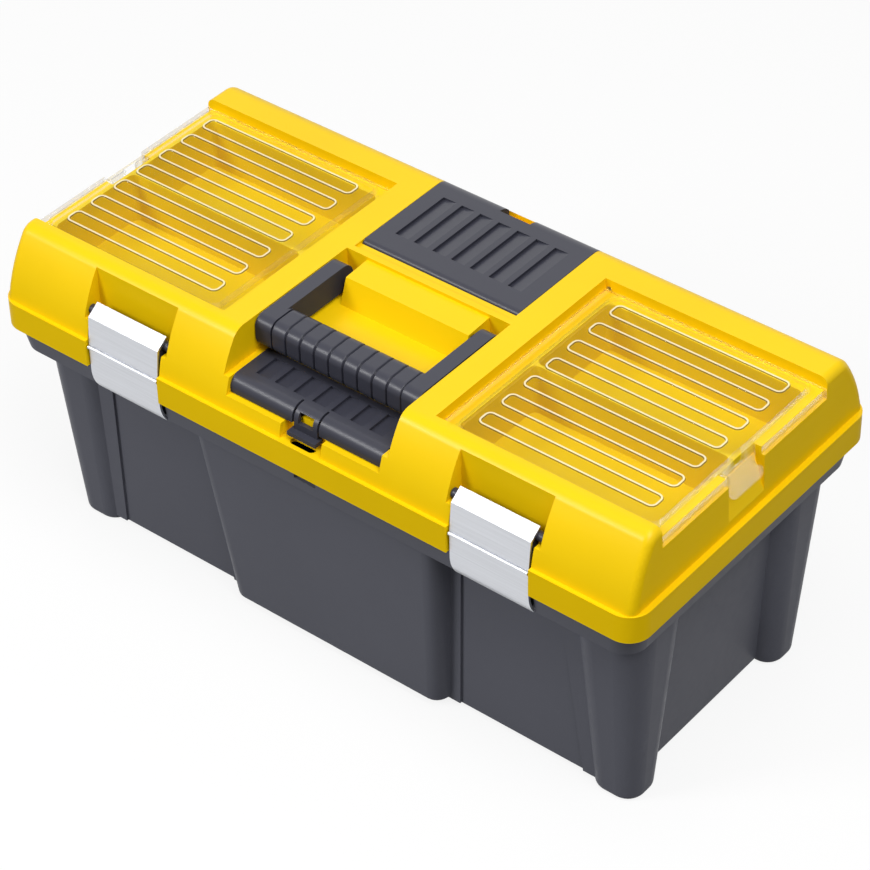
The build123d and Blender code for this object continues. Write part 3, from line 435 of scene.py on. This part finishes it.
class TOOLBOX_OT_leg_heads(bpy.types.Operator):
    """Carry the walls of the legs up inside the hollow rim"""

    bl_idname = "toolbox.leg_heads"
    bl_label = "Leg walls in the rim"

    def execute(self, context):
        mesh = leg_head_mesh(context.scene.toolbox_rim)
        mesh.shade_smooth()
        mesh.set_sharp_from_angle(angle=edges_of(context).sharp_angle)
        mesh.materials.append(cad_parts["tub"].data.materials[0])
        walls = bpy.data.objects.new("leg_head_walls", mesh)
        context.scene.collection.objects.link(walls)
        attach(walls, "base")
        return {"FINISHED"}


class TOOLBOX_OT_lid(bpy.types.Operator):
    """Finish the lid in yellow satin plastic and its wells in a darker copy of that yellow, which paints
    in the shade under the covers
    """

    bl_idname = "toolbox.lid"
    bl_label = "Lid and wells"

    def execute(self, context):
        finish = finish_of(context)
        material = moulded_plastic("lid_plastic", finish.yellow, finish, finish.yellow_shine)
        dress(context, ["lid_shell"], material, edges_of(context).shell_round)
        wells = ["left_well", "right_well", "front_well", "rear_well"]
        # Painted shade: the wells get a darker copy of the lid's yellow for the shade that falls under
        # the covers
        shaded_well_material = moulded_plastic("well_plastic", finish.well_yellow_painted_shade, finish, finish.yellow_shine)
        dress(context, wells, shaded_well_material, edges_of(context).piece_round)
        return {"FINISHED"}


class TOOLBOX_OT_clear_covers(bpy.types.Operator):
    """Finish the two clear covers"""

    bl_idname = "toolbox.clear_covers"
    bl_label = "Clear covers"

    def execute(self, context):
        material = clear_plastic("clear_cover_plastic", finish_of(context))
        dress(context, ["left_clear_cover", "right_clear_cover"], material, edges_of(context).sheet_round)
        return {"FINISHED"}


class TOOLBOX_OT_bin_covers(bpy.types.Operator):
    """Finish the front and rear bin covers"""

    bl_idname = "toolbox.bin_covers"
    bl_label = "Bin covers"

    def execute(self, context):
        finish = finish_of(context)
        material = moulded_plastic("bin_cover_plastic", finish.dark_grey, finish, finish.dark_shine)
        dress(context, ["front_bin_cover", "rear_bin_cover"], material, edges_of(context).piece_round)
        return {"FINISHED"}


class TOOLBOX_OT_handle(bpy.types.Operator):
    """Finish the folding handle and its grip"""

    bl_idname = "toolbox.handle"
    bl_label = "Handle"

    def execute(self, context):
        finish = finish_of(context)
        material = moulded_plastic("handle_plastic", finish.dark_grey, finish, finish.dark_shine)
        dress(context, ["handle_bail", "handle_grip"], material, edges_of(context).piece_round)
        return {"FINISHED"}


class TOOLBOX_OT_latches(bpy.types.Operator):
    """Finish the latch plates, their bodies and the pins"""

    bl_idname = "toolbox.latches"
    bl_label = "Latches and pins"

    def execute(self, context):
        finish = finish_of(context)
        plates = satin_metal("latch_metal", finish.silver, PLATE_ROUGHNESS, DRAWN_ALONG)
        bodies = moulded_plastic("latch_plastic", finish.dark_grey, finish, finish.dark_shine)
        pins = satin_metal("pin_steel", finish.steel, PIN_ROUGHNESS, DRAWN_ALONG)
        width = edges_of(context).piece_round
        dress(context, ["left_latch_plate", "right_latch_plate"], plates, width)
        dress(context, ["left_latch_body", "right_latch_body"], bodies, width)
        names = ["left_latch_pin", "right_latch_pin", "left_hinge_pin", "right_hinge_pin"]
        dress(context, names, pins, edges_of(context).sheet_round)
        return {"FINISHED"}


class TOOLBOX_OT_tray(bpy.types.Operator):
    """Finish the lift-out tray"""

    bl_idname = "toolbox.tray"
    bl_label = "Tray"

    def execute(self, context):
        finish = finish_of(context)
        material = moulded_plastic("tray_plastic", finish.tray_grey, finish, finish.grey_shine)
        dress(context, ["tool_tray"], material, edges_of(context).piece_round)
        return {"FINISHED"}


def seen_or_mirrored(tree):
    """Socket that is one for what the camera sees, straight, in a reflection or through a clear piece."""
    rays = tree.nodes.new("ShaderNodeLightPath")
    straight = tree.nodes.new("ShaderNodeMath")
    either = tree.nodes.new("ShaderNodeMath")
    straight.operation = either.operation = "MAXIMUM"
    tree.links.new(rays.outputs["Is Camera Ray"], straight.inputs[0])
    tree.links.new(rays.outputs["Is Glossy Ray"], straight.inputs[1])
    tree.links.new(straight.outputs[0], either.inputs[0])
    tree.links.new(rays.outputs["Is Transmission Ray"], either.inputs[1])
    return either.outputs[0]


def white_floor_material(stage):
    """Pale floor that shows as white to the camera and in reflections, apart from the box's shadow."""
    board = NodeBoard("floor_white")
    tone = stage.floor_tone
    board.shade(Base_Color=(tone, tone, tone, 1.0), Roughness=0.9)
    shadow_catcher = board.add("ShaderNodeBsdfDiffuse")
    shadow_catcher.inputs["Color"].default_value = (0.95, 0.95, 0.95, 1.0)
    glow = board.add("ShaderNodeEmission")
    look = board.add("ShaderNodeMixShader")
    look.inputs["Fac"].default_value = stage.floor_white
    mix = board.add("ShaderNodeMixShader")
    board.link(shadow_catcher.outputs["BSDF"], look.inputs[1])
    board.link(glow.outputs["Emission"], look.inputs[2])
    board.link(seen_or_mirrored(board.tree), mix.inputs["Fac"])
    board.link(board.shader.outputs["BSDF"], mix.inputs[1])
    board.link(look.outputs["Shader"], mix.inputs[2])
    board.link(mix.outputs["Shader"], board.tree.nodes["Material Output"].inputs["Surface"])
    return board.material


def white_world(stage):
    """Even light all round, white to the camera and in reflections."""
    world = bpy.data.worlds.new("studio_world")
    world.use_nodes = True
    tree = world.node_tree
    background = tree.nodes["Background"]
    background.inputs["Color"].default_value = (1.0, 1.0, 1.0, 1.0)
    level = tree.nodes.new("ShaderNodeMapRange")
    level.inputs["To Min"].default_value = stage.world_level
    level.inputs["To Max"].default_value = 1.0
    tree.links.new(seen_or_mirrored(tree), level.inputs["Value"])
    tree.links.new(level.outputs["Result"], background.inputs["Strength"])
    return world


def area_lamp(name, place, aim, size, watts):
    """Square soft lamp at place, turned to aim."""
    data = bpy.data.lights.new(name, "AREA")
    data.shape = "SQUARE"
    data.size = size
    data.energy = watts
    lamp = bpy.data.objects.new(name, data)
    lamp.location = place
    lamp.rotation_euler = (Vector(aim) - Vector(place)).to_track_quat("-Z", "Y").to_euler()
    bpy.context.scene.collection.objects.link(lamp)


def camera_matrix(stage):
    """Place and turn of the camera from its angles, distance and target."""
    swing, rise, tilt = stage.azimuth, stage.elevation, stage.roll
    back = Vector((math.sin(swing) * math.cos(rise), -math.cos(swing) * math.cos(rise), math.sin(rise)))
    right = Vector((math.cos(swing), math.sin(swing), 0.0))
    up = back.cross(right)
    side = right * math.cos(tilt) + up * math.sin(tilt)
    top = up * math.cos(tilt) - right * math.sin(tilt)
    turn = Matrix((side, top, back)).transposed().to_4x4()
    return Matrix.Translation(Vector(stage.target) + back * stage.distance) @ turn


class TOOLBOX_OT_stage(bpy.types.Operator):
    """Set up the floor, the lamps and the camera"""

    bl_idname = "toolbox.stage"
    bl_label = "Stage"

    def execute(self, context):
        scene = context.scene
        stage = scene.toolbox_stage
        half = stage.floor_size / 2
        mesh = bpy.data.meshes.new("floor")
        signs = ((-1, -1), (1, -1), (1, 1), (-1, 1))
        corners = [(half * across, half * along, lowest.z) for across, along in signs]
        mesh.from_pydata(corners, [], [(0, 1, 2, 3)])
        floor = bpy.data.objects.new("floor", mesh)
        mesh.materials.append(white_floor_material(stage))
        scene.collection.objects.link(floor)
        scene.world = white_world(stage)
        middle = (lowest + highest) / 2
        for name, place, side, power in LAMPS:
            area_lamp(name, place, middle, side, getattr(stage, power))
        lens = bpy.data.cameras.new("camera")
        lens.lens = stage.lens
        camera = bpy.data.objects.new("camera", lens)
        camera.matrix_world = camera_matrix(stage)
        scene.collection.objects.link(camera)
        scene.camera = camera
        scene.view_settings.view_transform = "Standard"
        return {"FINISHED"}


class TOOLBOX_PT_panel(bpy.types.Panel):
    """Settings and steps of the tool box"""

    bl_idname = "TOOLBOX_PT_panel"
    bl_label = "Tool Box"
    bl_space_type = "VIEW_3D"
    bl_region_type = "UI"
    bl_category = "Tool Box"

    def draw(self, context):
        layout = self.layout
        for group in (getattr(context.scene, name) for name in GROUPS):
            column = layout.column(align=True)
            for name in group.bl_rna.properties.keys():
                if name not in ("rna_type", "name"):
                    column.prop(group, name)
        for step in STEPS:
            layout.operator(step.bl_idname)


STEPS = (
    TOOLBOX_OT_tub,
    TOOLBOX_OT_leg_heads,
    TOOLBOX_OT_lid,
    TOOLBOX_OT_clear_covers,
    TOOLBOX_OT_bin_covers,
    TOOLBOX_OT_handle,
    TOOLBOX_OT_latches,
    TOOLBOX_OT_tray,
    TOOLBOX_OT_stage,
)
GROUPS = {
    "toolbox_finish": FinishSettings,
    "toolbox_edges": EdgeSettings,
    "toolbox_rim": RimSettings,
    "toolbox_stage": StageSettings,
}


def register():
    """Register the settings, the steps and the panel."""
    for group in GROUPS.values():
        bpy.utils.register_class(group)
    for step in STEPS:
        bpy.utils.register_class(step)
    bpy.utils.register_class(TOOLBOX_PT_panel)
    for name, group in GROUPS.items():
        setattr(bpy.types.Scene, name, PointerProperty(type=group))


def unregister():
    """Take everything back out."""
    for name in GROUPS:
        delattr(bpy.types.Scene, name)
    bpy.utils.unregister_class(TOOLBOX_PT_panel)
    for step in reversed(STEPS):
        bpy.utils.unregister_class(step)
    for group in GROUPS.values():
        bpy.utils.unregister_class(group)


def main():
    """Dress the box and set the stage."""
    register()
    bpy.ops.toolbox.tub()
    bpy.ops.toolbox.leg_heads()
    bpy.ops.toolbox.lid()
    bpy.ops.toolbox.clear_covers()
    bpy.ops.toolbox.bin_covers()
    bpy.ops.toolbox.handle()
    bpy.ops.toolbox.latches()
    bpy.ops.toolbox.tray()
    bpy.ops.toolbox.stage()


if __name__ == "__main__":
    main()
